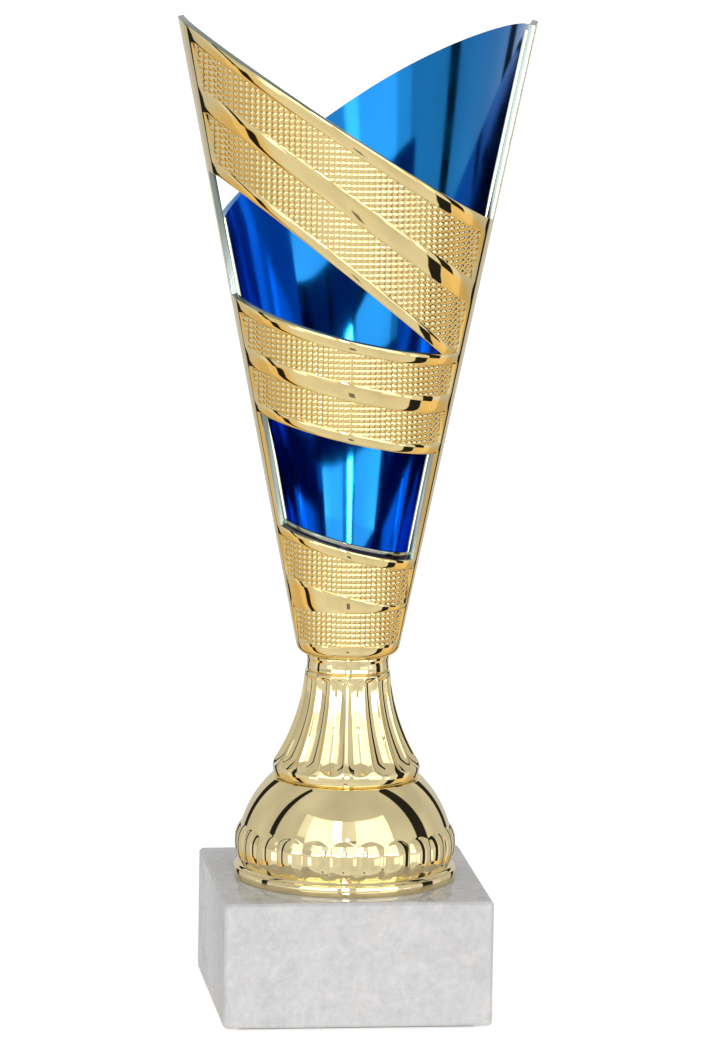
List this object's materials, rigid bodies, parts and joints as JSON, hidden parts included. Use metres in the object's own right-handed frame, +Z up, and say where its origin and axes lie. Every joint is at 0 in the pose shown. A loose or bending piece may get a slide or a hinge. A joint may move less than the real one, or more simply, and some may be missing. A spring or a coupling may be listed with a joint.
{
  "type": "cup trophy",
  "caption": "Tall conical cup trophy: gold openwork front frame over a blue mirror shell, fluted stem and lobed domed foot, on a square marble block.",
  "frame": {"origin": "centre of the underside of the base", "axes": "+Z up along the trophy's axis, -Y the base's front, +X to the viewer's right"},
  "size_m": [0.1122, 0.0984, 0.3146],
  "materials": {
    "felt": "matt pressed felt",
    "marble": "polished pale grey marble with faint veins",
    "steel": "zinc-plated steel",
    "gold_foot": "metallised plastic, polished gold",
    "gold_stem": "metallised plastic, polished gold",
    "gold_cup": "metallised plastic, polished gold with textured fields",
    "blue_mirror": "metallised plastic under a clear blue lacquer"
  },
  "bodies": {
    "root": {"base_felt": "felt", "marble_base": "marble", "base_washer": "steel", "base_nut": "steel", "tie_rod": "steel", "foot_dome": "gold_foot", "stem_bell": "gold_stem", "neck_collar": "gold_stem", "cup_frame": "gold_cup", "cup_shell": "blue_mirror", "cup_washer": "steel", "cup_nut": "steel"}
  },
  "joints": []
}
